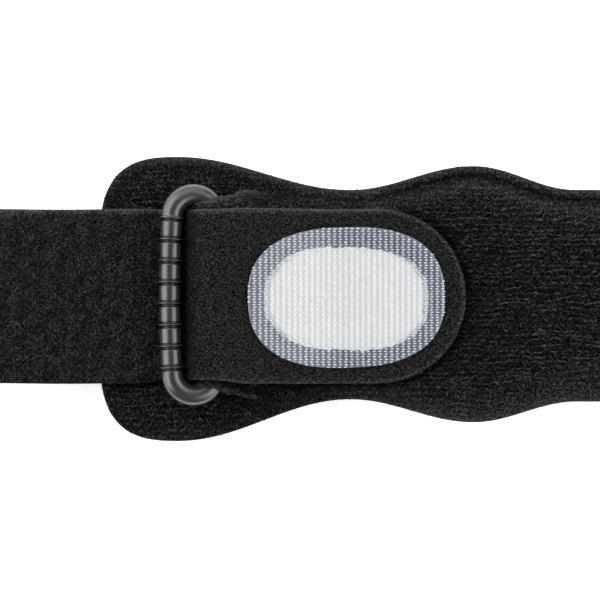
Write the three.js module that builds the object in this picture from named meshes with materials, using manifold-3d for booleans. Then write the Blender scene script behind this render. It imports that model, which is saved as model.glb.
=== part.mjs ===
// Patella strap, lying closed and flat with its pad upwards.
// Millimetres, +Z up, +X along the pad, +Y across it.
import * as THREE from "three";
import Module from "manifold-3d";

// Driving dimensions of the pad
const pad_length = 220;
const pad_thickness = 5;
const pad_upper_reach = 30.3;
const pad_lower_reach = 31.5;
const pad_edge_width = 7.2;
const pad_end_curve_along = 2.8;
const pad_end_curve_across = 4.6;
const pad_outline_points = 124;

// Lobes and waists from the pad's end to its middle, as shares of its half length and reaches
const pad_shape = [
  { along: 0.158, upper: 1, lower: 1 },
  { along: 0.498, upper: 0.762, lower: 0.711 },
  { along: 0.742, upper: 0.934, lower: 0.87 },
  { along: 0.945, upper: 0.762, lower: 0.727 },
  { along: 1, upper: 0.762, lower: 0.727 },
];

// Lip and groove round the raised middle, as shares of the edge width and pad thickness
const pad_edge = [
  { inside: 0.18, drop: 1 },
  { inside: 0.05, drop: 0.92 },
  { inside: 0, drop: 0.74 },
  { inside: 0, drop: 0.56 },
  { inside: 0.05, drop: 0.44 },
  { inside: 0.14, drop: 0.4 },
  { inside: 0.22, drop: 0.42 },
  { inside: 0.29, drop: 0.54 },
  { inside: 0.36, drop: 0.42 },
  { inside: 0.53, drop: 0.2 },
  { inside: 0.72, drop: 0.06 },
  { inside: 1, drop: 0 },
];

// Driving dimensions of the strap
const strap_width = 37.8;
const strap_thickness = 2;
const strap_edge_round = 0.8;
const strap_narrowing = 7;
const strap_squeeze = 0.5;
const strap_past_left_end = 32.15;
const strap_past_right_end = 2;
const strap_descent = 30.2;
const strap_free_end = 54.5;
const strap_sewn_overlap = 28;
const leg_hollow = 9;

// Driving dimensions of the ring
const ring_inset = 13.45;
const ring_across = 0.3;
const ring_bar = 4.56;
const ring_bow = 0.52;
const ring_slack = 0.3;
const ring_side_play = 0.44;
const ridge_count = 8;
const ridge_margin = 0.78;
const ridge_width = 0.8;
const ridge_height = 0.35;
const ring_sides = 16;

// Driving dimensions of the knit keeper that holds the ring
const keeper_wall = 1.1;
const keeper_into_turn = 3.25;
const keeper_flare = 2.4;
const keeper_reach = 18.2;
const keeper_tail_thickness = 1.4;

// Tail of the keeper, as shares of its reach, its flare and its fall from the bar
const keeper_tail = [
  { along: 0.2, flare: 0.35, above: 0.74 },
  { along: 0.27, flare: 0.85, above: 0.61 },
  { along: 0.34, flare: 1, above: 0.47 },
  { along: 0.45, flare: 1, above: 0.27 },
  { along: 0.56, flare: 0.98, above: 0.12 },
  { along: 0.7, flare: 0.83, above: 0.02 },
  { along: 1, flare: 0.42, above: 0 },
];

// Driving dimensions of the hook patch
const patch_length = 43.1;
const patch_side_margin = 3.7;
const patch_end_margin = 4.7;
const patch_border = 4.2;
const patch_curve = 2.5;
const patch_base = 0.7;
const patch_field_rise = 0.4;
const patch_points = 56;

// Space left between pieces that touch
const gap = 0.3;

// Levels above the floor and places along the pad, from its left end
const half_strap = strap_thickness / 2;
const half_width = strap_width / 2;
const pad_top = strap_thickness + leg_hollow + pad_thickness;
const lower_run = half_strap;
const upper_run = pad_top + gap + half_strap;
const fold_radius = (upper_run - lower_run) / 2;
const fold_level = (upper_run + lower_run) / 2;
const left_fold = fold_radius + half_strap - strap_past_left_end;
const right_fold = pad_length + strap_past_right_end;

// Place of the ring, from the strap and keeper that it holds
const bar_radius = ring_bar / 2;
const ridge_radius = bar_radius + ridge_height;
const keeper_radius = bar_radius + gap + keeper_wall;
const under_bar = ridge_radius + ring_bow + gap + half_strap;
const over_bar = keeper_radius + strap_squeeze / 2 + gap + half_strap;
const ring_spacing = under_bar + over_bar + ring_slack;
const ring_corner = (ring_spacing - ring_bow) / 2;
const ring_straight = half_width + ring_side_play + bar_radius - ring_corner;
const left_bar_level = upper_run + under_bar;
const right_bar_level = pad_top + gap + keeper_radius;
const ring_tilt = Math.asin((left_bar_level - right_bar_level) / ring_spacing);
const left_bar = ring_inset + bar_radius;
const right_bar = left_bar + ring_spacing * Math.cos(ring_tilt);
const ring_middle = right_bar - ring_corner * Math.cos(ring_tilt);
const ring_level = right_bar_level + ring_corner * Math.sin(ring_tilt);

// Place of the tab end and its patch
const tip = right_bar + strap_free_end;
const tab = tip - half_width;
const patch_width = strap_width - 2 * patch_side_margin;
const patch_middle = tip - patch_end_margin - patch_length / 2;

const wasm = await Module();
wasm.setup();

function mix(from, to, share) {
  return from + (to - from) * share;
}

// Share from 0 to 1 that starts and stops gently
function ease(share) {
  const held = Math.min(1, Math.max(0, share));
  return (1 - Math.cos(Math.PI * held)) / 2;
}

// Closed solid from points and triangles, with its faces turned outwards
function solid(points, faces) {
  let volume = 0;
  for (const [a, b, c] of faces) {
    volume += points[a].clone().cross(points[b]).dot(points[c]);
  }
  const geometry = new THREE.BufferGeometry();
  const positions = points.flatMap((point) => point.toArray());
  const order = faces.flatMap(([a, b, c]) => (volume < 0 ? [a, c, b] : [a, b, c]));
  geometry.setAttribute("position", new THREE.Float32BufferAttribute(positions, 3));
  geometry.setIndex(order);
  return geometry;
}

// Side faces between neighbours in a row of equal rings of points
function join_rings(ring_count, ring_size, closed, faces) {
  const joins = closed ? ring_count : ring_count - 1;
  for (let ring = 0; ring < joins; ring += 1) {
    const here = ring * ring_size;
    const there = ((ring + 1) % ring_count) * ring_size;
    for (let side = 0; side < ring_size; side += 1) {
      const next = (side + 1) % ring_size;
      faces.push([here + side, there + side, there + next]);
      faces.push([here + side, there + next, here + next]);
    }
  }
}

// Fan that closes one end of a row of rings
function close_end(points, start, size, turned, faces) {
  const middle = new THREE.Vector3();
  for (let side = 0; side < size; side += 1) {
    middle.add(points[start + side]);
  }
  points.push(middle.divideScalar(size));
  const hub = points.length - 1;
  for (let side = 0; side < size; side += 1) {
    const next = (side + 1) % size;
    faces.push(turned ? [hub, start + next, start + side] : [hub, start + side, start + next]);
  }
}

// Solid through a row of rings of points, a loop when the row is closed
function sweep(rings, closed) {
  const points = rings.flat();
  const faces = [];
  const size = rings[0].length;
  join_rings(rings.length, size, closed, faces);
  if (!closed) {
    close_end(points, 0, size, false, faces);
    close_end(points, (rings.length - 1) * size, size, true, faces);
  }
  return solid(points, faces);
}

function to_manifold(geometry) {
  const mesh = new wasm.Mesh({
    numProp: 3,
    vertProperties: new Float32Array(geometry.attributes.position.array),
    triVerts: new Uint32Array(geometry.index.array),
  });
  return new wasm.Manifold(mesh);
}

function from_manifold(body) {
  const mesh = body.getMesh();
  const geometry = new THREE.BufferGeometry();
  const positions = Array.from(mesh.vertProperties);
  geometry.setAttribute("position", new THREE.Float32BufferAttribute(positions, 3));
  geometry.setIndex(Array.from(mesh.triVerts));
  return geometry;
}

// One quarter of the pad outline, from the tip of its end to its middle
function pad_quarter(side, reach) {
  const half_length = pad_length / 2;
  const lobe = pad_shape[0];
  const line = [];
  const end_steps = 40;
  for (let step = 0; step <= end_steps; step += 1) {
    const angle = (Math.PI / 2) * (step / end_steps);
    const along = Math.max(0, Math.cos(angle)) ** (2 / pad_end_curve_along);
    const across = Math.sin(angle) ** (2 / pad_end_curve_across);
    line.push([half_length * lobe.along * (1 - along), reach * lobe[side] * across]);
  }
  const steps = 24;
  for (let row = 1; row < pad_shape.length; row += 1) {
    const before = pad_shape[row - 1];
    const after = pad_shape[row];
    for (let step = 1; step <= steps; step += 1) {
      const share = step / steps;
      const across = mix(before[side], after[side], ease(share));
      line.push([half_length * mix(before.along, after.along, share), reach * across]);
    }
  }
  return line;
}

// Whole outline of the pad, evenly spaced and anticlockwise from above
function pad_outline() {
  const upper = pad_quarter("upper", pad_upper_reach);
  const lower = pad_quarter("lower", pad_lower_reach);
  const mirrored = (line) => line.slice(0, -1).map(([x, y]) => [pad_length - x, y]);
  const over = [...upper, ...mirrored(upper).reverse()];
  const under = [...lower, ...mirrored(lower).reverse()].map(([x, y]) => [x, -y]);
  const around = [...under.slice(0, -1), ...over.reverse().slice(0, -1)];
  const line = around.map(([x, y]) => new THREE.Vector3(x, y, 0));
  const curve = new THREE.CatmullRomCurve3(line, true, "centripetal");
  curve.arcLengthDivisions = 2000;
  return curve.getSpacedPoints(pad_outline_points).slice(0, -1);
}

function make_pad() {
  const outline = pad_outline();
  const count = outline.length;
  const inward = outline.map((point, place) => {
    const before = outline[(place + count - 1) % count];
    const after = outline[(place + 1) % count];
    const along = after.clone().sub(before).normalize();
    return new THREE.Vector3(-along.y, along.x, 0);
  });
  const rings = pad_edge.map(({ inside, drop }) =>
    outline.map((point, place) => {
      const moved = point.clone().addScaledVector(inward[place], inside * pad_edge_width);
      moved.z = pad_top - drop * pad_thickness;
      return moved;
    }),
  );
  const faces = [];
  join_rings(rings.length, count, false, faces);
  const flat = (ring) => ring.map((point) => new THREE.Vector2(point.x, point.y));
  const bottom = THREE.ShapeUtils.triangulateShape(flat(rings[0]), []);
  const top = THREE.ShapeUtils.triangulateShape(flat(rings[rings.length - 1]), []);
  const top_start = (rings.length - 1) * count;
  faces.push(...bottom.map(([a, b, c]) => [a, b, c]));
  faces.push(...top.map(([a, b, c]) => [top_start + a, top_start + c, top_start + b]));
  return solid(rings.flat(), faces);
}

// Rod stations on one side of the ring, bowed outwards or straight, in the ring's own plane
function ring_side(side, bow, places) {
  return places.map(([y, radius]) => ({
    x: side * (ring_corner + bow * (1 - (y / ring_straight) ** 2)),
    y,
    radius,
  }));
}

// Rod stations round one end of the ring, in the ring's own plane
function ring_turn(end) {
  const steps = 10;
  const stations = [];
  for (let step = 1; step < steps; step += 1) {
    const angle = Math.PI * (step / steps);
    stations.push({
      x: end * ring_corner * Math.cos(angle),
      y: end * (ring_straight + ring_corner * Math.sin(angle)),
      radius: bar_radius,
    });
  }
  return stations;
}

// Stations all round the ring's rod, anticlockwise, with ridges on the left bar if wanted
function ring_stations(with_ridges) {
  const plain = [];
  const steps = 10;
  for (let step = 0; step <= steps; step += 1) {
    plain.push([mix(-ring_straight, ring_straight, step / steps), bar_radius]);
  }
  const ridged = [[ring_straight, bar_radius]];
  const outermost = ring_straight - ridge_margin;
  const foot = ridge_width / 2;
  const crest = ridge_width / 4;
  for (let ridge = 0; ridge < ridge_count; ridge += 1) {
    const middle = mix(outermost, -outermost, ridge / (ridge_count - 1));
    ridged.push([middle + foot, bar_radius]);
    ridged.push([middle + crest, ridge_radius]);
    ridged.push([middle - crest, ridge_radius]);
    ridged.push([middle - foot, bar_radius]);
  }
  ridged.push([-ring_straight, bar_radius]);
  const left = with_ridges ? ridged : plain.map(([y, radius]) => [-y, radius]);
  const right_side = ring_side(1, 0, plain);
  const left_side = ring_side(-1, ring_bow, left);
  return [...right_side, ...ring_turn(1), ...left_side, ...ring_turn(-1)];
}

// Point of the ring's own plane, set in its place and tilt
function ring_point(x, y, z) {
  const along = x * Math.cos(ring_tilt) + z * Math.sin(ring_tilt);
  const up = z * Math.cos(ring_tilt) - x * Math.sin(ring_tilt);
  return new THREE.Vector3(ring_middle + along, ring_across + y, ring_level + up);
}

// Round rod through stations of the ring, larger by a margin
function ring_rod(stations, closed, margin, sides) {
  const count = stations.length;
  const rings = stations.map((station, place) => {
    const before = stations[closed ? (place + count - 1) % count : Math.max(0, place - 1)];
    const after = stations[closed ? (place + 1) % count : Math.min(count - 1, place + 1)];
    const along = new THREE.Vector2(after.x - before.x, after.y - before.y).normalize();
    const ring = [];
    for (let side = 0; side < sides; side += 1) {
      const angle = (2 * Math.PI * (side + 0.5)) / sides;
      const out = (station.radius + margin) * Math.cos(angle);
      const up = (station.radius + margin) * Math.sin(angle);
      ring.push(ring_point(station.x + along.y * out, station.y - along.x * out, up));
    }
    return ring;
  });
  return sweep(rings, closed);
}

// Tail of the keeper, from inside its sleeve to its root on the pad
function keeper_plate(half_sleeve) {
  const base = pad_top + gap;
  const edge = keeper_tail_thickness / 5;
  const start = { along: 0, flare: 0, above: 0.5 };
  const rings = [start, ...keeper_tail].map((row) => {
    const wide = half_sleeve + keeper_flare * row.flare;
    const high = mix(keeper_tail_thickness, 2 * keeper_radius, row.above);
    const outline = [
      [-wide + edge, 0],
      [wide - edge, 0],
      [wide, edge],
      [wide, high - edge],
      [wide - edge, high],
      [-wide + edge, high],
      [-wide, high - edge],
      [-wide, edge],
    ];
    const along = right_bar + keeper_reach * row.along;
    return outline.map(([y, z]) => new THREE.Vector3(along, ring_across + y, base + z));
  });
  return sweep(rings, false);
}

function make_keeper() {
  const half_sleeve = ring_straight + keeper_into_turn;
  const around = ring_stations(false);
  const held = around.filter(({ x, y }) => x > 0 && Math.abs(y) < half_sleeve);
  held.sort((one, other) => one.y - other.y);
  const sleeve = to_manifold(ring_rod(held, false, keeper_radius - bar_radius, ring_sides + 4));
  const plate = to_manifold(keeper_plate(half_sleeve));
  const bar_hole = to_manifold(ring_rod(around, true, gap, ring_sides));
  return from_manifold(sleeve.add(plate).subtract(bar_hole));
}

// Level of the strap's middle past the ring, where it comes down on the pad
function free_run(along) {
  const top = right_bar_level + over_bar;
  return mix(top, upper_run, ease((along - right_bar) / strap_descent));
}

// Stations on an arc of the strap, from one angle to another in degrees
function strap_arc(middle, level, radius, from, to, steps) {
  const stations = [];
  for (let step = 0; step <= steps; step += 1) {
    const angle = THREE.MathUtils.degToRad(mix(from, to, step / steps));
    stations.push([middle + radius * Math.cos(angle), level + radius * Math.sin(angle)]);
  }
  return stations;
}

// Middle line of the strap from its sewn end, round the loop and through the ring
function strap_line() {
  const apart = right_bar - left_bar;
  const drop = right_bar_level - left_bar_level;
  const lean = Math.atan2(drop, apart);
  const turn = Math.asin((under_bar + over_bar) / Math.hypot(apart, drop));
  const rise = THREE.MathUtils.radToDeg(lean + turn);
  const line = [[pad_length - strap_sewn_overlap, upper_run]];
  line.push(...strap_arc(right_fold, fold_level, fold_radius, 90, -90, 14));
  line.push(...strap_arc(left_fold, fold_level, fold_radius, 270, 90, 14));
  line.push([left_bar - strap_narrowing, upper_run]);
  line.push([left_bar - strap_narrowing / 2, upper_run]);
  line.push(...strap_arc(left_bar, left_bar_level, under_bar, -90, rise - 90, 6));
  line.push(...strap_arc(right_bar, right_bar_level, over_bar, rise + 90, 90, 8));
  const steps = 14;
  for (let step = 1; step <= steps; step += 1) {
    const along = mix(right_bar, tab, step / steps);
    line.push([along, free_run(along)]);
  }
  const tab_steps = 12;
  for (let step = 1; step <= tab_steps; step += 1) {
    const angle = THREE.MathUtils.degToRad((86 * step) / tab_steps);
    const along = tab + half_width * Math.sin(angle);
    line.push([along, free_run(along)]);
  }
  return line;
}

// Share of the strap's squeeze into the ring at a station
function squeeze_share(along, level) {
  if (level < fold_level || along > tab) {
    return 0;
  }
  const before = ease((along - left_bar + strap_narrowing) / strap_narrowing);
  const after = ease((right_bar + strap_narrowing - along) / strap_narrowing);
  return Math.min(before, after);
}

// Half width of the strap at a station, closing in a half circle at its tab end
function strap_half_width(along, level) {
  if (level > fold_level && along > tab && along < tip) {
    return Math.sqrt(half_width ** 2 - (along - tab) ** 2);
  }
  return half_width - strap_squeeze * squeeze_share(along, level);
}

function make_strap() {
  const line = strap_line();
  const rings = line.map(([along, level], place) => {
    const before = line[Math.max(0, place - 1)];
    const after = line[Math.min(line.length - 1, place + 1)];
    const heading = new THREE.Vector2(after[0] - before[0], after[1] - before[1]).normalize();
    const wide = strap_half_width(along, level);
    const shift = ring_across * squeeze_share(along, level);
    const round = Math.min(strap_edge_round, wide * 0.6);
    const ring = [];
    for (let corner = 0; corner < 4; corner += 1) {
      const side = corner === 0 || corner === 3 ? 1 : -1;
      const face = corner < 2 ? 1 : -1;
      for (let step = 0; step <= 2; step += 1) {
        const angle = (Math.PI / 2) * (corner + step / 2);
        const y = shift + side * (wide - round) + round * Math.cos(angle);
        const out = face * (half_strap - round) + round * Math.sin(angle);
        ring.push(new THREE.Vector3(along - heading.y * out, y, level + heading.x * out));
      }
    }
    return ring;
  });
  return sweep(rings, false);
}

// Rings of the hook patch, from the middle of its underside to the middle of its top
function patch_rows() {
  const inner_length = 1 - (2 * patch_border) / patch_length;
  const inner_width = 1 - (2 * patch_border) / patch_width;
  const spread = [0.15, 0.3, 0.45, 0.6, 0.75, 0.9];
  const rows = spread.map((share) => ({ length: share, width: share, rise: 0 }));
  const top = patch_base + patch_field_rise;
  rows.push({ length: 1, width: 1, rise: 0 });
  rows.push({ length: 1, width: 1, rise: patch_base });
  rows.push({ length: (1 + inner_length) / 2, width: (1 + inner_width) / 2, rise: patch_base });
  rows.push({ length: inner_length, width: inner_width, rise: patch_base });
  rows.push({ length: inner_length, width: inner_width, rise: top });
  for (const share of [0.84, 0.67, 0.5, 0.34, 0.17]) {
    rows.push({ length: inner_length * share, width: inner_width * share, rise: top });
  }
  return rows;
}

// Share of the patch's half size for a sine or cosine, fuller at the corners than an ellipse
function fuller(share) {
  return Math.sign(share) * Math.abs(share) ** (2 / patch_curve);
}

function make_patch() {
  const rings = patch_rows().map(({ length, width, rise }) => {
    const ring = [];
    for (let place = 0; place < patch_points; place += 1) {
      const angle = (2 * Math.PI * place) / patch_points;
      const along = patch_middle + (patch_length / 2) * length * fuller(Math.cos(angle));
      const across = (patch_width / 2) * width * fuller(Math.sin(angle));
      const slope = (free_run(along + 0.1) - free_run(along - 0.1)) / 0.2;
      const above = (half_strap + gap + rise) * Math.hypot(1, slope);
      ring.push(new THREE.Vector3(along, across, free_run(along) + above));
    }
    return ring;
  });
  return sweep(rings, false);
}

// Colours and roughness of the pieces
const pieces = [
  { name: "pad", geometry: make_pad(), color: 0x262424, roughness: 0.95 },
  { name: "strap", geometry: make_strap(), color: 0x2a2a2b, roughness: 0.95 },
  {
    name: "ring",
    geometry: ring_rod(ring_stations(true), true, 0, ring_sides),
    color: 0x3a3a3c,
    roughness: 0.45,
  },
  { name: "ring_keeper", geometry: make_keeper(), color: 0x242223, roughness: 0.95 },
  { name: "hook_patch", geometry: make_patch(), color: 0xd9dde2, roughness: 0.7 },
];

const group = new THREE.Group();
group.name = "patella_strap";
for (const { name, geometry, color, roughness } of pieces) {
  const material = new THREE.MeshStandardMaterial({ color, roughness });
  const mesh = new THREE.Mesh(geometry, material);
  mesh.name = name;
  group.add(mesh);
}

// The origin is the middle of the underside
const box = new THREE.Box3().setFromObject(group);
const middle = box.getCenter(new THREE.Vector3());
for (const mesh of group.children) {
  mesh.geometry.translate(-middle.x, -middle.y, -box.min.z);
}

export default group;
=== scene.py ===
# Patella strap lying closed and flat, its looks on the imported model.
# Lengths are in millimetres until place() turns them into the frame's metres.
import math

import bmesh
import bpy
import numpy as np
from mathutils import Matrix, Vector


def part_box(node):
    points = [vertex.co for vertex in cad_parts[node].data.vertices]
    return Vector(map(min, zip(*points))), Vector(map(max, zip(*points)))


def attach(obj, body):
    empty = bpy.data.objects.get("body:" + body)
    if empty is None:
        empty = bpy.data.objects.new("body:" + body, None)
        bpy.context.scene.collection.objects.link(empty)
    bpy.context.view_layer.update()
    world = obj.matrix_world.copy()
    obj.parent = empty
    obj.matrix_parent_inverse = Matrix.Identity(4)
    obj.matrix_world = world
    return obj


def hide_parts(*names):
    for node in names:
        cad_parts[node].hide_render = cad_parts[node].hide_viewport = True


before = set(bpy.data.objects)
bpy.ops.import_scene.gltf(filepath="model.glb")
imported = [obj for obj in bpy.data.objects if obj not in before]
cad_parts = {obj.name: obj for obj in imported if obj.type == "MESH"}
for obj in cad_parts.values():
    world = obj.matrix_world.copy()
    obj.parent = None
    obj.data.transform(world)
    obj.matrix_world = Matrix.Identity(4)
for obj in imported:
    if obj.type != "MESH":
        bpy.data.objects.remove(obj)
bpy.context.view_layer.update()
rng = np.random.default_rng(20)

# Sizes of the source model
pad_length = 220.0
pad_thickness = 5.0
pad_upper_reach = 30.3
pad_lower_reach = 31.5
pad_edge_width = 7.2
pad_end_curve_along = 2.8
pad_end_curve_across = 4.6
pad_shape = [
    (0.158, 1.0, 1.0),
    (0.498, 0.762, 0.711),
    (0.742, 0.934, 0.87),
    (0.945, 0.762, 0.727),
    (1.0, 0.762, 0.727),
]
strap_width = 37.8
strap_thickness = 2.0
strap_narrowing = 7.0
strap_squeeze = 0.5
strap_past_left_end = 32.15
strap_past_right_end = 2.0
strap_descent = 30.2
strap_free_end = 54.5
strap_sewn_overlap = 28.0
leg_hollow = 9.0
ring_inset = 13.45
ring_across = 0.3
ring_bar = 4.56
ring_bow = 0.52
ring_slack = 0.3
ring_side_play = 0.44
ridge_count = 8
ridge_margin = 0.78
ridge_height = 0.35
ridge_shift = 0.5
keeper_wall = 1.1
patch_length = 43.1
patch_side_margin = 3.7
patch_end_margin = 4.7
patch_border = 4.2
patch_curve = 2.5
gap = 0.3

# Sizes of what only the looks have
hook_pitch_along = 1.235
hook_pitch_across = 0.565
course_pitch = 1.15
yarn_pitch = 0.36
seam_pitch = 2.6
seam_inset = 2.5
edge_highlight_width = 0.45
edge_glow_width = 1.8
sewn_end_shown = 34.0
turn_shown = 26.0
tab_shade_reach = 1.8
tab_shade_start = 8.0

# Levels and places that follow from them
half_strap = strap_thickness / 2
half_width = strap_width / 2
pad_top = strap_thickness + leg_hollow + pad_thickness
upper_run = pad_top + gap + half_strap
fold_radius = (upper_run - half_strap) / 2
fold_level = (upper_run + half_strap) / 2
left_fold = fold_radius + half_strap - strap_past_left_end
right_fold = pad_length + strap_past_right_end
bar_radius = ring_bar / 2
keeper_radius = bar_radius + gap + keeper_wall
under_bar = bar_radius + ridge_height + ring_bow + gap + half_strap
over_bar = keeper_radius + strap_squeeze / 2 + gap + half_strap
ring_spacing = under_bar + over_bar + ring_slack
ring_corner = (ring_spacing - ring_bow) / 2
ring_straight = half_width + ring_side_play + bar_radius - ring_corner
left_bar_level = upper_run + under_bar
right_bar_level = pad_top + gap + keeper_radius
ring_tilt = math.asin((left_bar_level - right_bar_level) / ring_spacing)
left_bar = ring_inset + bar_radius
right_bar = left_bar + ring_spacing * math.cos(ring_tilt)
ring_middle = right_bar - ring_corner * math.cos(ring_tilt)
ring_level = right_bar_level + ring_corner * math.sin(ring_tilt)
tip = right_bar + strap_free_end
patch_width = strap_width - 2 * patch_side_margin
patch_middle = tip - patch_end_margin - patch_length / 2

# Where the pad's left end and the strap's long middle line lie in the frame
pad_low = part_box("pad")[0]
frame_shift = np.array([pad_low[0] * 1000, pad_low[1] * 1000 + pad_lower_reach, 0.0])

# Scale of the photograph, and its pixel column and row of the pad's left end and middle line
mm_per_pixel = 0.2171
photo_left_end = 98.0
photo_middle_line = 296.2
photo_side = 600


def mix(low, high, share):
    return low + (high - low) * share


def ease(share):
    return (1 - np.cos(np.pi * np.clip(share, 0, 1))) / 2


def place(points):
    return (np.asarray(points, float) + frame_shift) / 1000


def unit(vectors):
    return vectors / np.maximum(np.linalg.norm(vectors, axis=-1, keepdims=True), 1e-9)


def fade(value, start, end):
    """0 up to a start and 1 past an end, in a straight line between them."""
    return np.clip((value - start) / (end - start), 0, 1)


def bell(value, middle, width):
    """1 at a middle, falling smoothly to nothing over about two widths."""
    return np.exp(-(((value - middle) / width) ** 2))


def circle(count):
    return np.linspace(0, 2 * math.pi, count, endpoint=False)


def crowded(count, power):
    """Shares from -1 to 1, closer together towards both ends."""
    share = np.linspace(-1, 1, count)
    return np.sign(share) * (1 - (1 - np.abs(share)) ** power)


def spots(along, across):
    """Both coordinates of every point of a grid, in two flat arrays."""
    return (part.ravel() for part in np.meshgrid(along, across, indexing="ij"))


def ahead_of(points):
    """From the point before to the point after, round a closed line."""
    return np.roll(points, -1, axis=0) - np.roll(points, 1, axis=0)


def ripple(a, b, size, seed):
    """Smooth uneven values from -1 to 1 over two coordinates, with bumps of about one size."""
    waves = np.random.default_rng(seed)
    total = np.zeros(np.broadcast(a, b).shape)
    for _ in range(7):
        angle = waves.uniform(0, 2 * math.pi)
        pitch = 2 * math.pi / (size * waves.uniform(0.8, 2.2))
        phase = waves.uniform(0, 2 * math.pi)
        total += np.sin((a * math.cos(angle) + b * math.sin(angle)) * pitch + phase)
    return total / 4


def add_object(name, data):
    item = bpy.data.objects.new(name, data)
    bpy.context.scene.collection.objects.link(item)
    return item


def build(name, points, groups, material, slot):
    """Mesh piece from points in millimetres and groups of faces with as many corners in each group."""
    corners = np.concatenate([np.full(len(group), group.shape[1]) for group in groups])
    loops = np.concatenate([group.ravel() for group in groups])
    mesh = bpy.data.meshes.new(name)
    mesh.vertices.add(len(points))
    mesh.vertices.foreach_set("co", place(points).astype(np.float32).ravel())
    mesh.loops.add(len(loops))
    mesh.loops.foreach_set("vertex_index", loops.astype(np.int32))
    mesh.polygons.add(len(corners))
    mesh.polygons.foreach_set("loop_start", (np.cumsum(corners) - corners).astype(np.int32))
    mesh.polygons.foreach_set("use_smooth", np.ones(len(corners), bool))
    mesh.update(calc_edges=True)
    mesh.validate()
    mesh.materials.append(material)
    piece = add_object(name, mesh)
    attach(piece, "root")
    return piece


def add_layer(piece, name, values):
    layer = piece.data.attributes.new(name, "FLOAT", "POINT")
    layer.data.foreach_set("value", np.asarray(values, np.float32))


def merge_close(piece):
    shape = bmesh.new()
    shape.from_mesh(piece.data)
    bmesh.ops.remove_doubles(shape, verts=shape.verts, dist=0.000004)
    bmesh.ops.recalc_face_normals(shape, faces=shape.faces)
    shape.to_mesh(piece.data)
    shape.free()


def grid_faces(rows, columns, closed_rows=False, closed_columns=False, start=0):
    row = np.arange(rows if closed_rows else rows - 1)
    column = np.arange(columns if closed_columns else columns - 1)
    row, column = spots(row, column)
    next_row = (row + 1) % rows
    next_column = (column + 1) % columns
    corners = [(row, column), (row, next_column), (next_row, next_column), (next_row, column)]
    return start + np.stack([r * columns + c for r, c in corners], axis=1)


def closed_body(rings):
    """Points and faces of a body from rings of points, with a fan over each end."""
    rows, count = rings.shape[:2]
    here = np.arange(count)
    beside = (here + 1) % count
    last = (rows - 1) * count
    hub = rows * count + 0 * here
    points = np.concatenate([rings.reshape(-1, 3), rings[[0, -1]].mean(axis=1)])
    fans = [np.stack([hub, beside, here], axis=1), np.stack([hub + 1, last + here, last + beside], axis=1)]
    return points, [grid_faces(rows, count, closed_columns=True), *fans]


# Materials


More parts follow.
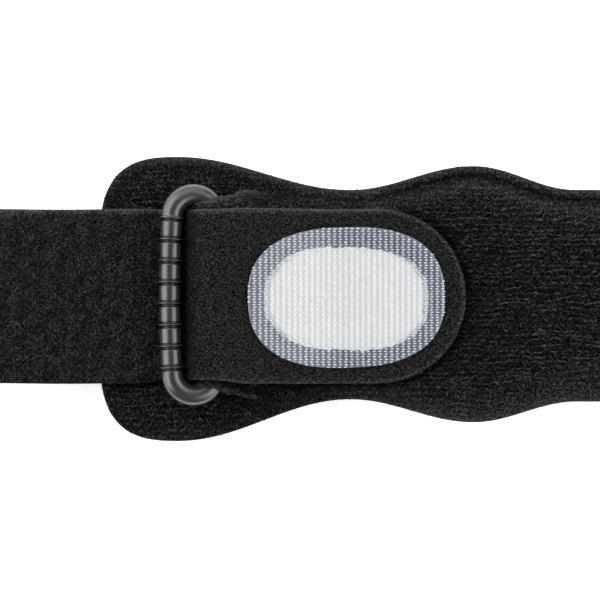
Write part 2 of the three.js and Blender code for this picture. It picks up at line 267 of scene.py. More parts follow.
class Nodes:
    """A material's node tree, built by short calls."""

    def __init__(self, name):
        self.material = bpy.data.materials.new(name)
        self.material.use_nodes = True
        self.tree = self.material.node_tree
        self.tree.nodes.clear()
        self.shader = self.add("ShaderNodeBsdfPrincipled")
        self.add("ShaderNodeOutputMaterial", {"Surface": self.shader.outputs[0]})
        self.place = self.add("ShaderNodeTexCoord").outputs["Object"]

    def add(self, kind, inputs=None, **settings):
        node = self.tree.nodes.new(kind)
        for name, value in settings.items():
            setattr(node, name, value)
        for name, value in (inputs or {}).items():
            self.feed(node.inputs[name], value)
        return node

    def feed(self, socket, value):
        if isinstance(value, bpy.types.NodeSocket):
            self.tree.links.new(value, socket)
        else:
            socket.default_value = value

    def math(self, kind, *values):
        return self.add("ShaderNodeMath", dict(enumerate(values)), operation=kind).outputs[0]

    def scaled(self, value, factor, more=0.0):
        return self.math("MULTIPLY_ADD", value, factor, more)

    def limited(self, value):
        return self.math("MINIMUM", self.math("MAXIMUM", value, 0.0), 1.0)

    def noise(self, scale, detail=2.0, stretch=(1, 1, 1), turn=0.0, rough=0.55, twist=0.0):
        """Noise with bumps of about the given size in millimetres, stretched along each axis."""
        scales = [s * scale * 0.001 for s in stretch]
        settings = {"Rotation": (0, 0, turn), "Scale": scales, "Vector": self.place}
        mapping = self.add("ShaderNodeMapping", settings, vector_type="TEXTURE")
        settings = {"Scale": 1.0, "Detail": detail, "Roughness": rough, "Distortion": twist}
        settings["Vector"] = mapping.outputs[0]
        return self.add("ShaderNodeTexNoise", settings).outputs[0]

    def threads(self, scale, fine, stretch=(1, 1, 1), turn=0.0):
        """Tangled threads, 1 along their middles and 0 between them."""
        away = self.math("SUBTRACT", self.noise(scale, 1.0, stretch, turn, 0.5, 0.6), 0.5)
        return self.math("MAXIMUM", self.scaled(self.math("ABSOLUTE", away), -fine, 1.0), 0.0)

    def ramp(self, value, stops):
        most = max(1.0, stops[-1][0])
        node = self.add("ShaderNodeValToRGB", {0: self.math("DIVIDE", value, most)})
        elements = node.color_ramp.elements
        while len(elements) < len(stops):
            elements.new(0.5)
        for element, (position, colour) in zip(elements, stops):
            element.position = position / most
            element.color = (*colour, 1)
        return node.outputs[0]

    def axis(self, name, start):
        """Distance in metres along one axis from a start."""
        apart = self.add("ShaderNodeSeparateXYZ", {0: self.place})
        return self.math("SUBTRACT", apart.outputs[name], float(start))

    def column_wave(self):
        """1 along the columns of hooks and -1 between them."""
        along = self.axis("X", place([patch_middle, 0, 0])[0])
        return self.math("COSINE", self.scaled(along, 2000 * math.pi / hook_pitch_along))

    def tab_shadow(self):
        """Painted shadow of the strap's tab: 1 at its lower side and round end, falling to 0 some way out on
        the pad.
        """
        middle = place([tip - half_width, ring_across, 0])
        along = self.math("MAXIMUM", self.axis("X", middle[0]), 0.0)
        across = self.axis("Y", middle[1])
        squares = [self.math("POWER", value, 2.0) for value in (along, across)]
        away = self.math("SQRT", self.math("ADD", *squares))
        outside = self.math("SUBTRACT", away, half_width / 1000)
        near = self.limited(self.scaled(outside, -1000 / tab_shade_reach, 1.0))
        lower = self.math("LESS_THAN", across, 0.0)
        beyond = self.limited(self.scaled(along, 1000 / tab_shade_start))
        return self.math("MULTIPLY", near, self.math("MAXIMUM", lower, beyond))

    def blend(self, share, low, high):
        return self.add("ShaderNodeMix", {0: share, 6: low, 7: high}, data_type="RGBA").outputs[2]

    def layer(self, name):
        return self.add("ShaderNodeAttribute", attribute_name=name).outputs["Fac"]

    def bump(self, height, depth, strength):
        settings = {"Distance": depth * 0.001, "Strength": strength, "Height": height}
        return self.add("ShaderNodeBump", settings).outputs[0]

    def finish(self, colour, roughness, normal=None, specular=0.5, sheen=0.0, sheen_rough=0.5):
        settings = {"Base Color": colour, "Roughness": roughness, "Specular IOR Level": specular}
        settings.update({"Sheen Weight": sheen, "Sheen Roughness": sheen_rough})
        if normal is not None:
            settings["Normal"] = normal
        for name, value in settings.items():
            self.feed(self.shader.inputs[name], value)
        return self.material


warm = (1.13, 0.94, 1.03)
cool = (0.99, 1.0, 0.98)
neutral = (1.0, 1.0, 1.0)


def grey(value, tint=neutral):
    return tuple(value * part for part in tint)


def knit_material():
    """Dark ground of the black knit, under its raised yarn, with painted light from the rim layer along the
    edge and the tab's painted shadow.
    """
    knit = Nodes("pad_knit")
    loops = knit.threads(0.5, 9.0, (2.0, 1, 1), 0.1)
    fuzz = knit.threads(0.36, 10.0, turn=0.5)
    raised = knit.scaled(loops, 0.5, knit.scaled(fuzz, 0.3))
    # Painted light along the edge from the rim layer, then the tab's painted shadow.
    tone = knit.scaled(knit.layer("rim"), 0.45, raised)
    tone = knit.scaled(knit.tab_shadow(), -0.3, tone)
    stops = [(0.15, grey(0.0002, warm)), (0.5, grey(0.003, warm)), (1.0, grey(0.03, cool))]
    normal = knit.bump(raised, 0.25, 0.8)
    return knit.finish(knit.ramp(tone, stops), 0.95, normal, 0.03, 0.04, 0.35)


def pile_material(name, tint, level):
    """Black brushed pile, a close tangled nap, paler or darker as its rim layer says: a painted edge
    highlight, painted shade by the ring and real patches of nap on the strap, frayed cut edges on the
    keeper.
    """
    pile = Nodes(name)
    curls = pile.threads(0.44, 10.0, turn=0.3)
    fine_curls = pile.threads(0.33, 10.0, turn=-0.7)
    raised = pile.scaled(curls, 0.5, pile.scaled(fine_curls, 0.5))
    mottle = pile.scaled(pile.noise(0.9, 3.0), 0.12, -0.06)
    tone = pile.math("ADD", pile.scaled(pile.layer("rim"), 0.5, raised), mottle)
    stops = [(0.12, 0.03), (0.45, 0.7), (0.95, 3.6), (1.7, 9.0)]
    colour = pile.ramp(tone, [(at, grey(level * share, tint)) for at, share in stops])
    normal = pile.bump(raised, 0.2, 0.8)
    return pile.finish(colour, 0.95, normal, 0.02, 0.02, 0.35)


def strand_material(name, level, tint, shaded=False):
    """Loose yarn whose tone changes from one strand to the next."""
    strand = Nodes(name)
    mottle = strand.scaled(strand.noise(0.6, 2.0), 0.24, -0.12)
    share = strand.math("ADD", strand.layer("tone"), mottle)
    # Painted shadow of the strap's tab on the pad's strands.
    if shaded:
        share = strand.scaled(strand.tab_shadow(), -0.3, share)
    stops = [(0.0, grey(level * 0.1, tint)), (0.5, grey(level, tint)), (1.0, grey(level * 3.2, cool))]
    return strand.finish(strand.ramp(share, stops), 0.8, None, 0.05, 0.015, 0.4)


def ring_material():
    """Satin moulded plastic, faintly grained."""
    plastic = Nodes("ring_plastic")
    grain = plastic.noise(0.25, 3.0, rough=0.6)
    cloud = plastic.noise(4.0, 3.0)
    colour = plastic.ramp(cloud, [(0.3, grey(0.012)), (0.7, grey(0.016, cool))])
    rough = plastic.scaled(grain, 0.12, 0.25)
    normal = plastic.bump(grain, 0.012, 0.6)
    return plastic.finish(colour, rough, normal, 0.9)


def film_material():
    """Milky hook film, bluish over the black strap."""
    film = Nodes("hook_film")
    cloud = film.scaled(film.column_wave(), 0.25, film.noise(1.1, 3.0))
    colour = film.ramp(cloud, [(0.22, (0.085, 0.096, 0.125)), (0.78, (0.175, 0.191, 0.227))])
    speckle = film.scaled(film.noise(0.5, 2.0), 0.8, -0.4)
    share = film.math("ADD", film.layer("whiteness"), speckle)
    whitened = film.ramp(share, [(0.35, (0, 0, 0)), (0.75, (1, 1, 1))])
    colour = film.blend(whitened, colour, (0.58, 0.59, 0.6, 1))
    normal = film.bump(film.noise(0.3, 2.0), 0.05, 0.4)
    return film.finish(colour, 0.38, normal, 0.5)


def hook_material():
    """Milky white of the hooks."""
    white = Nodes("hook_white")
    colour = white.ramp(white.noise(0.9, 3.0), [(0.3, (0.53, 0.555, 0.59)), (0.7, (0.68, 0.695, 0.72))])
    normal = white.bump(white.noise(0.25, 2.0), 0.03, 0.4)
    return white.finish(colour, 0.35, normal, 0.5)


def backing_material():
    """White backing, faintly ribbed between the columns of hooks."""
    backing = Nodes("hook_backing")
    wave = backing.scaled(backing.column_wave(), 0.35, 0.5)
    share = backing.scaled(backing.noise(0.4, 2.0), 0.6, wave)
    colour = backing.ramp(share, [(0.3, (0.475, 0.48, 0.49)), (1.1, (0.645, 0.65, 0.65))])
    normal = backing.bump(backing.noise(0.25, 2.0), 0.03, 0.4)
    return backing.finish(colour, 0.5, normal, 0.4)


def floor_material():
    floor = Nodes("floor_paper")
    colour = floor.ramp(floor.noise(40.0, 2.0), [(0.3, grey(0.95)), (0.7, grey(0.97))])
    floor.shader.inputs["Emission Color"].default_value = (1, 1, 1, 1)
    floor.shader.inputs["Emission Strength"].default_value = 0.43
    return floor.finish(colour, 0.9, specular=0.1)


# The strap's line, from its sewn end round the loop and through the ring to its tip


def distances(line):
    """Distance of each point along a line from its first one."""
    return np.append(0, np.cumsum(np.linalg.norm(np.diff(line, axis=0), axis=1)))


def respaced(line, spots_along):
    return [np.interp(spots_along, distances(line), values) for values in line.T]


def free_run(along):
    top = right_bar_level + over_bar
    return mix(top, upper_run, ease((along - right_bar) / strap_descent))


def arc(middle, level, radius, start, end, steps):
    angle = np.radians(np.linspace(start, end, steps))
    return np.stack([middle + radius * np.cos(angle), level + radius * np.sin(angle)], axis=1)


def strap_line():
    apart = right_bar - left_bar
    drop = right_bar_level - left_bar_level
    turn = math.asin((under_bar + over_bar) / math.hypot(apart, drop))
    rise = math.degrees(math.atan2(drop, apart) + turn)
    places = np.linspace(right_bar, tip, 80)[1:]
    parts = [
        np.array([[pad_length - strap_sewn_overlap, upper_run]]),
        arc(right_fold, fold_level, fold_radius, 90, -90, 40),
        arc(left_fold, fold_level, fold_radius, 270, 90, 40),
        arc(left_bar, left_bar_level, under_bar, -90, rise - 90, 24),
        arc(right_bar, right_bar_level, over_bar, rise + 90, 90, 30),
        np.stack([places, free_run(places)], axis=1),
    ]
    line = np.concatenate(parts)
    even = np.arange(0, distances(line)[-1], 0.25)
    x, z = respaced(line, even)
    for values in (x, z):
        values[3:-3] = np.convolve(values, np.ones(7) / 7, "valid")
    return even, x, z


line_at, line_x, line_z = strap_line()
line_tx = np.gradient(line_x, line_at)
line_tz = np.gradient(line_z, line_at)
strap_end = line_at[-1]
tab_start = strap_end - half_width
upper_start = line_at[np.argmax((line_x < left_fold) & (line_z > fold_level))]


def on_line(at):
    """Place and heading of the strap's middle line at a distance along it."""
    return [np.interp(at, line_at, values) for values in (line_x, line_z, line_tx, line_tz)]


def strap_point(at, across, out):
    """Point on the strap at a distance along it, across it and out from its middle."""
    x, z, tx, tz = on_line(at)
    past = np.maximum(at - strap_end, 0)
    return np.stack([x + past - tz * out, across + 0 * x, z + tx * out], axis=-1)


def strap_axes(at):
    tx, tz = on_line(at)[2:]
    along = unit(np.stack([tx, 0 * tx, tz], axis=-1))
    out = unit(np.stack([-tz, 0 * tx, tx], axis=-1))
    return along, out


def squeeze_share(at):
    """1 where the strap is squeezed narrower in the ring, 0 a little before and after it."""
    x = on_line(at)[0]
    before = ease((x - left_bar + strap_narrowing) / strap_narrowing)
    after = ease((right_bar + strap_narrowing - x) / strap_narrowing)
    return np.where(at > upper_start, np.minimum(before, after), 0)


def strap_reach(at):
    """Half width of the strap, closing in a half circle at the tip."""
    past = np.maximum(at - tab_start, 0)
    tab = np.sqrt(np.maximum(half_width**2 - past**2, 0))
    return tab - strap_squeeze * squeeze_share(at)


def strap_depth(at, across, reach):
    """Distance inside the strap's edge."""
    past = np.maximum(at - tab_start, 0)
    round_end = half_width - np.hypot(past, across)
    side = reach - np.abs(across)
    return np.maximum(np.minimum(np.where(past > 0, round_end, side), at), 0)


def strap_height(at, across, depth):
    """Half thickness of the strap, rounded at its edge and gently uneven."""
    rim = 0.95
    inside = np.clip(depth / rim, 0, 1)
    profile = np.sqrt(np.maximum(1 - (1 - inside) ** 2, 0))
    return half_strap * profile + 0.05 * inside * ripple(at, across, 5.0, 4)


def painted_edge_highlight(at, across, depth):
    """Painted edge highlight: how much paler the nap is along the edge, more on the upper side, and just
    inside it round the free end.
    """
    past = np.clip((at - strap_end + half_width) / 6, 0, 1)
    free = on_line(at)[0] > left_bar + 3
    painted_highlight = np.exp(-depth / edge_highlight_width)
    glow = 0.5 * ~free * np.exp(-depth / edge_glow_width)
    upper = np.where(free, 2.2, 1.5) * painted_highlight + glow
    lower = np.where(free, 1.2, 0.0) * painted_highlight
    return mix(np.where(across > 0, upper, lower), 0.6 * bell(depth, 0.55, 0.35), past)


def ring_shade(at):
    """How much painted shade darkens the nap where the strap comes up through the ring, in the shadow of the
    ring's bar.
    """
    near = 1 - np.abs(on_line(at)[0] - left_bar - 2.4) / 4.6
    return np.where(at > upper_start, np.clip(near, 0, 1), 0)


def nap_patches(at, across):
    return ripple(at, across, 2.6, 41)


def make_strap(material):
    fine, coarse = 0.8, 2.5
    hidden_start, hidden_end = sewn_end_shown + 6, upper_start - turn_shown - 2
    places = [
        np.arange(0, hidden_start, fine),
        np.arange(hidden_start, hidden_end, coarse),
        np.arange(hidden_end, tab_start, fine),
        tab_start + half_width * np.sin(np.linspace(0, math.pi / 2, 60)),
    ]
    at, share = np.meshgrid(np.concatenate(places), crowded(45, 1.7), indexing="ij")
    reach = strap_reach(at)
    across = share * reach
    depth = strap_depth(at, across, reach)
    height = strap_height(at, across, depth)
    height[:, [0, -1]] = 0
    height[[0, -1], :] = 0
    sway = 0.12 * ripple(at, 0 * across, 26.0, 8)
    across = across + ring_across * squeeze_share(at) + sway * (at > upper_start)
    points = np.stack([strap_point(at, across, height), strap_point(at, across, -height)])
    upper = grid_faces(*at.shape)
    faces = [upper, (upper + at.size)[:, ::-1]]
    piece = build("strap_band", points.reshape(-1, 3), faces, material, "strap_pile")
    uneven = 0.2 * (on_line(at)[0] < left_bar) * nap_patches(at, across)
    # Rim layer: painted edge highlight, less the painted shade by the ring, with real patches of nap on the
    # left part.
    rim = painted_edge_highlight(at, across, depth) - 1.2 * ring_shade(at) + uneven
    add_layer(piece, "rim", np.tile(rim.ravel(), 2))
    merge_close(piece)
    return piece


# Strands of pile and knit, as flat ribbons

upward = np.array([0.0, 0.0, 1.0])


def draws(count, *ranges):
    """Random values for a count of strands, one array for each range."""
    return [rng.uniform(low, high, count) for low, high in ranges]


def strands(name, base, along, out, length, width, rise, bend, tone, material, slot):
    """One ribbon for each base point, lying along a direction and bowed off the surface."""
    side = unit(np.cross(out, along))
    roll = rng.uniform(-0.8, 0.8, len(base))
    flat = side * np.cos(roll)[:, None] + out * np.sin(roll)[:, None]
    rows = []
    for step, narrowed in ((-0.5, 0.5), (0.0, 1.0), (0.5, 0.5)):
        shift = along * (length * step)[:, None] + side * (bend * length * step**2)[:, None]
        middle = base + shift + out * (rise * (1 - 2 * abs(step)))[:, None]
        wide = (width * narrowed / 2)[:, None]
        rows.append(np.stack([middle - flat * wide, middle + flat * wide], axis=1))
    points = np.stack(rows, axis=1).reshape(-1, 3)
    first = ((np.arange(len(base)) * 6)[:, None] + np.array([0, 2])).ravel()
    faces = np.stack([first, first + 1, first + 3, first + 2], axis=1)
    piece = build(name, points, [faces], material, slot)
    add_layer(piece, "tone", np.repeat(np.clip(tone, 0, 1), 6))
    return piece


def even_spots(count):
    """Shares of a rectangle's two sides that spread points over it without clumps."""
    plastic_number = 1.32471795724
    steps = np.array([1 / plastic_number, 1 / plastic_number**2])
    return ((np.arange(count)[:, None] + 0.5) * steps % 1).T


def strap_strands(name, count, rim, material):
    """Nap on the strap's outer face where it shows, or pale nap along its rim that paints the edge
    highlight.
    """
    along, aside = even_spots(count)
    sewn_along, sewn_aside = even_spots(count // 6)
    sewn = mix(1, sewn_end_shown, sewn_along)
    at = np.concatenate([sewn, mix(upper_start - turn_shown, strap_end, along)])
    at = at + rng.normal(0, 0.2, len(at))
    across = mix(-1, 1, np.concatenate([sewn_aside, aside])) * (half_width - 0.1)
    across = across + rng.normal(0, 0.2, len(at))
    reach = strap_reach(at)
    depth = strap_depth(at, across, reach)
    # Edge strands follow the painted highlight; face strands thin out in the painted shade by the ring.
    painted_highlight = painted_edge_highlight(at, across, depth) * bell(depth, 0, 0.9)
    chance = painted_highlight if rim else 1 - 0.4 * ring_shade(at)
    keep = (np.abs(across) < reach - 0.15) & (depth > 0.2) & (rng.uniform(0, 1, len(at)) < chance)
    at, across, depth = at[keep], across[keep], depth[keep]
    count = len(at)
    base = strap_point(at, across + ring_across * squeeze_share(at), strap_height(at, across, depth))
    forward, out = strap_axes(at)
    free = on_line(at)[0] > left_bar
    spread = np.where(free, 0.4, 1.0) * np.clip(0.1 + depth / 1.2, 0, 1)
    turn = rng.uniform(-math.pi, math.pi, count) * spread
    along = forward * np.cos(turn)[:, None] + np.cross(out, forward) * np.sin(turn)[:, None]
    # Painted light: a paler upper edge on the left part; painted shade where the strap comes up through the
    # ring.
    upper_edge_glow = 0.3 * ~free * (across > 0) * np.exp(-depth / edge_glow_width)
    tone = 0.4 + 0.24 * free + np.where(free, 0.02, 0.13) * nap_patches(at, across) + upper_edge_glow
    tone += rng.normal(0, 1, count) * np.where(free, 0.16, 0.33) - 0.75 * ring_shade(at)
    lengths = (0.25, 0.6) if rim else (0, 0.8)
    length, width, rise, bend = draws(count, lengths, (0.08, 0.15), (0.03, 0.25), (-1.4, 1.4))
    if not rim:
        length = 0.35 + length * np.where(free, 0.45, 0.95)
    return strands(name, base, along, out, length, width, rise, bend, tone, material, "strap_pile")


# The pad


def pad_quarter(column, reach):
    half_length = pad_length / 2
    angle = np.linspace(0, math.pi / 2, 60)
    along = np.maximum(np.cos(angle), 0) ** (2 / pad_end_curve_along)
    across = np.sin(angle) ** (2 / pad_end_curve_across)
    first = pad_shape[0]
    xs = [half_length * first[0] * (1 - along)]
    ys = [reach * first[column] * across]
    share = np.linspace(0, 1, 41)[1:]
    for before, after in zip(pad_shape, pad_shape[1:]):
        xs.append(half_length * mix(before[0], after[0], share))
        ys.append(reach * mix(before[column], after[column], ease(share)))
    return np.concatenate(xs), np.concatenate(ys)


def pad_outline(count):
    """Outline of the pad, evenly spaced and anticlockwise from above."""
    halves = []
    for column, reach, side in ((2, pad_lower_reach, -1), (1, pad_upper_reach, 1)):
        x, y = pad_quarter(column, reach)
        half = [np.append(x, (pad_length - x)[-2::-1]), side * np.append(y, y[-2::-1])]
        halves.append(np.stack(half, axis=1)[::-side][:-1])
    line = np.concatenate([*halves, halves[0][:1]])
    return np.stack(respaced(line, np.linspace(0, distances(line)[-1], count, endpoint=False)), axis=1)


def soften(profile, rounds):
    """Cuts the corners of a profile, keeping its two ends."""
    for _ in range(rounds):
        first = mix(profile[:-1], profile[1:], 0.25)
        second = mix(profile[:-1], profile[1:], 0.75)
        inner = np.stack([first, second], axis=1).reshape(-1, profile.shape[1])
        profile = np.concatenate([profile[:1], inner, profile[-1:]])
    return profile


# Share of the edge's width in from the outline, and shares of the thickness down with and without the groove
pad_edge = np.array(
    [
        (1.0, 1.0, 1.0),
        (0.18, 1.0, 1.0),
        (0.03, 0.95, 0.95),
        (-0.01, 0.74, 0.74),
        (-0.01, 0.56, 0.56),
        (0.03, 0.42, 0.42),
        (0.14, 0.39, 0.36),
        (0.23, 0.4, 0.27),
        (0.29, 0.58, 0.22),
        (0.35, 0.42, 0.18),
        (0.53, 0.19, 0.09),
        (0.72, 0.05, 0.03),
        (1.0, 0.0, 0.0),
    ]
)


def groove_share(flat):
    """The groove runs along the middle of the upper edge and fades before the end lobes."""
    from_end = np.minimum(flat[:, 0], pad_length - flat[:, 0])
    return np.where(flat[:, 1] > 0, ease((from_end - 52) / 20), 0)


def edge_painted_light(flat, inside):
    """Painted light on the knit: a painted highlight where it turns over the edge, stronger on the upper
    side, a painted highlight on the slope by the groove with painted shade in the groove, and a painted pool
    of light where it rises beside the strap's upper side."""
    x, y = flat.T
    slope = 0.6 * bell(inside, 4.3, 1.5) + 0.22 * bell(inside, 8, 4) - 0.6 * bell(inside, 2.1, 0.5)
    belly = fade(x, 45, 70)
    upper = 1.1 * bell(inside, 0, 1.6) + slope * mix(0.3, 1.0, belly)
    lower = mix(0.45 * np.exp(-inside / 2.0), 1.2 * np.exp(-inside / 3.5), belly)
    glow = 0.4 * bell(y, 20.5, 2.0) * fade(x, 30, 36) * fade(x, 70, 60)
    return np.where(y > 0, upper, lower) * mix(0.6, 1.0, fade(x, 2, 10)) + glow


def pad_level(flat, inside):
    """Level of the pad's upper face, a given way in from its edge."""
    shares, *drops = pad_edge[5:].T
    grooved, plain = (np.interp(inside / pad_edge_width, shares, drop) for drop in drops)
    return pad_top - pad_thickness * mix(plain, grooved, groove_share(flat))


def make_pad(material):
    outline = pad_outline(640)
    ahead = unit(ahead_of(outline))
    inward = np.stack([-ahead[:, 1], ahead[:, 0]], axis=1)
    groove = groove_share(outline)
    spine_inset = 26.0
    rim = outline + inward * pad_edge_width
    spine = np.stack([np.clip(rim[:, 0], spine_inset, pad_length - spine_inset), 0 * rim[:, 0]], axis=1)
    filled = np.linspace(1, 0, 13)
    rings, rims = [], []

    def add_ring(flat, level, tone):
        rings.append(np.column_stack([flat, level + 0 * flat[:, 0]]))
        rims.append(tone + 0 * flat[:, 0])

    for share in filled[::-1][:-1]:
        add_ring(mix(spine, rim, share), pad_top - pad_thickness, 0)
    # The rim layer holds painted light: along the edge rings, and faintly over the top.
    for inside, grooved, plain in soften(pad_edge, 2):
        flat = outline + inward * inside * pad_edge_width
        level = pad_top - mix(plain, grooved, groove) * pad_thickness
        add_ring(flat, level, edge_painted_light(flat, max(inside, 0) * pad_edge_width))
    for share in filled[1:]:
        flat = mix(spine, rim, share)
        dip = 0.12 * (1 - share) * (ripple(*flat.T, 14.0, 3) - 1)
        add_ring(flat, pad_top + dip, 0.2 * share * edge_painted_light(flat, pad_edge_width))
    faces = grid_faces(len(rings), len(outline), closed_columns=True)
    piece = build("pad_cover", np.concatenate(rings), [faces], material, "pad_knit")
    add_layer(piece, "rim", np.concatenate(rims))
    merge_close(piece)
    return piece


def inside_pad(points, outline):
    """Distance inside the pad's outline, negative outside it, and the heading of the nearest edge."""
    best = np.full(len(points), 1e9)
    nearest = np.zeros(len(points), int)
    for start in range(0, len(outline), 40):
        away = np.linalg.norm(points[:, None] - outline[None, start : start + 40], axis=2)
        closest = away.argmin(axis=1)
        distance = away[np.arange(len(points)), closest]
        better = distance < best
        best[better] = distance[better]
        nearest[better] = start + closest[better]
    ahead = ahead_of(outline)[nearest]
    heading = np.arctan2(ahead[:, 1], ahead[:, 0])
    from_edge = points - outline[nearest]
    inward = from_edge[:, 1] * np.cos(heading) - from_edge[:, 0] * np.sin(heading)
    return np.where(inward > 0, best, -best), heading


def pad_spots(yarn):
    """Places on the pad for strands: stitches along the wavy courses, or scattered fuzz."""
    if yarn:
        courses = np.arange(-pad_lower_reach, pad_upper_reach, course_pitch)
        x, y = spots(np.arange(0.2, pad_length, yarn_pitch), courses)
        x = x + rng.normal(0, 0.2, len(x))
        y = y + 0.5 * ripple(x * 0.45, y, 4.5, 21) + rng.normal(0, 0.11, len(y))
    else:
        along, aside = even_spots(46000)
        x = along * pad_length + rng.normal(0, 0.15, len(along))
        y = mix(-pad_lower_reach, pad_upper_reach, aside) + rng.normal(0, 0.15, len(along))
    return np.column_stack([x, y])


def near_tab_shade(flat):
    """Painted shade on the pad near the strap's tab: 1 close to its lower side and round end, falling to 0
    further out.
    """
    along = np.maximum(flat[:, 0] - tip + half_width, 0)
    outside = np.hypot(along, flat[:, 1] - ring_across) - half_width
    near = np.clip(1.1 - outside / 14, 0, 1)
    side = np.maximum(flat[:, 1] < 0, np.clip(along / tab_shade_start, 0, 1))
    return near * side * (flat[:, 0] > right_bar)


def pad_strands(name, yarn, material):
    """Raised yarn of the knit, slanting both ways along its courses, or the fuzz over it."""
    flat = pad_spots(yarn)
    inside, heading = inside_pad(flat, pad_outline(320))
    hidden = (flat[:, 0] > right_bar + 4) & (flat[:, 0] < tip - 14) & (np.abs(flat[:, 1]) < 17)
    keep = (inside > 0.25) & ~hidden
    flat, inside, heading = flat[keep], inside[keep], heading[keep]
    count = len(flat)
    base = np.column_stack([flat, pad_level(flat, inside) + 0.02])
    middle = fade(inside, 4.5, 7.5)
    slant = np.where(rng.uniform(0, 1, count) < 0.5, 0.35, -0.3)
    spread = mix(0.25, 0.6, fade(flat[:, 0], 24, 14)) if yarn else 1.1
    turn_middle = slant + rng.normal(0, 1, count) * spread
    turn_edge = heading + math.pi / 2 + rng.normal(0, 0.8, count)
    turn = np.where(rng.uniform(0, 1, count) < middle, turn_middle, turn_edge)
    along = np.column_stack([np.cos(turn), np.sin(turn), 0 * turn])
    # Painted light along the edge, and painted shade on the pad near the strap's tab.
    painted_tab_shade = near_tab_shade(flat)
    tone = 0.36 + 0.05 * ripple(flat[:, 0] * 0.4, flat[:, 1], 1.6, 23) + 0.6 * edge_painted_light(flat, inside)
    tone += rng.normal(0, 0.36, count) * (1 - 0.3 * painted_tab_shade) - 0.08 * painted_tab_shade
    sizes = [(0.7, 1.25), (0.15, 0.26)] if yarn else [(0.4, 1.2), (0.07, 0.14)]
    length, width, rise, bend = draws(count, *sizes, (0.06, 0.26), (-0.9, 0.9))
    size = mix(0.85, 1.0, middle)
    return strands(
        name, base, along, upward, size * length, size * width, rise, bend, tone, material, "pad_knit"
    )


# The ring


def ring_path():
    """Rod stations round the ring in its own plane, with the rod's radius at each."""
    right = np.linspace(-ring_straight, ring_straight, 30)
    turn = np.linspace(0, math.pi, 34)[1:-1]
    outermost = ring_straight - ridge_margin
    ridges = np.linspace(outermost, -outermost, ridge_count) + ridge_shift
    left = np.linspace(ring_straight, -ring_straight, 360)
    from_ridge = left[:, None] - ridges[None]
    near = np.min(np.abs(from_ridge), axis=1)
    fin = np.clip(1 - (near - 0.1) / 0.2, 0, 1)
    below = bell(np.min(np.abs(from_ridge + 0.5), axis=1), 0, 0.22)
    above = bell(np.min(np.abs(from_ridge - 0.42), axis=1), 0, 0.14)
    grown = ridge_height * 1.2 * fin - 0.6 * below - 0.35 * above
    parts = [
        (ring_corner + 0 * right, right, 0 * right),
        (ring_corner * np.cos(turn), ring_straight + ring_corner * np.sin(turn), 0 * turn),
        (-(ring_corner + ring_bow * (1 - (left / ring_straight) ** 2)), left, grown),
        (-ring_corner * np.cos(turn), -ring_straight - ring_corner * np.sin(turn), 0 * turn),
    ]
    return [np.concatenate(values) for values in zip(*parts)]


def ring_place(x, y, z):
    along = x * math.cos(ring_tilt) + z * math.sin(ring_tilt)
    up = z * math.cos(ring_tilt) - x * math.sin(ring_tilt)
    return np.stack([ring_middle + along, ring_across + y, ring_level + up], axis=-1)


def make_ring(material):
    x, y, grown = ring_path()
    ahead = unit(ahead_of(np.stack([x, y], axis=1)))
    angle = circle(40)
    radius = (bar_radius + grown)[:, None]
    out = radius * np.cos(angle)
    up = radius * np.sin(angle)
    points = ring_place(x[:, None] + ahead[:, 1:] * out, y[:, None] - ahead[:, :1] * out, up)
    faces = grid_faces(len(x), len(angle), True, True)
    piece = build("loop_ring", points.reshape(-1, 3), [faces], material, "ring_plastic")
    merge_close(piece)
    return piece


# The knit keeper, a tongue folded round the ring's hidden bar

keeper_sheet = 0.95
keeper_reach = 18.2
keeper_edges = [
    # distance right of the bar, upper half width, lower half width
    (-4.0, 19.6, 19.6),
    (0.0, 20.0, 19.7),
    (0.9, 20.5, 20.0),
    (3.7, 21.1, 20.9),
    (4.8, 21.7, 21.3),
    (5.5, 22.3, 21.6),
    (9.0, 22.3, 22.3),
    (10.5, 21.8, 21.2),
    (13.5, 20.2, 19.7),
    (18.4, 18.4, 18.6),
]


def keeper_line():
    """Middle line of the folded tongue beside the bar, from its lower root to its upper one."""
    wrap = bar_radius + 0.12 + keeper_sheet / 2
    low = pad_top + gap + keeper_sheet / 2
    high = low + keeper_sheet + 0.05
    level = right_bar_level
    lower_run = np.linspace(keeper_reach, 1.5, 14)
    lower = np.column_stack([lower_run, mix(low, level - wrap, ease((6 - lower_run) / 6))])
    angle = np.radians(np.linspace(-90, -290, 30))
    fold = np.column_stack([wrap * np.cos(angle), level + wrap * np.sin(angle)])
    upper_run = np.linspace(2.2, keeper_reach, 20)
    start = level + wrap * math.sin(math.radians(70))
    upper = np.column_stack([upper_run, mix(start, high, ease((upper_run - 0.6) / 12))])
    return np.concatenate([lower, fold, upper])


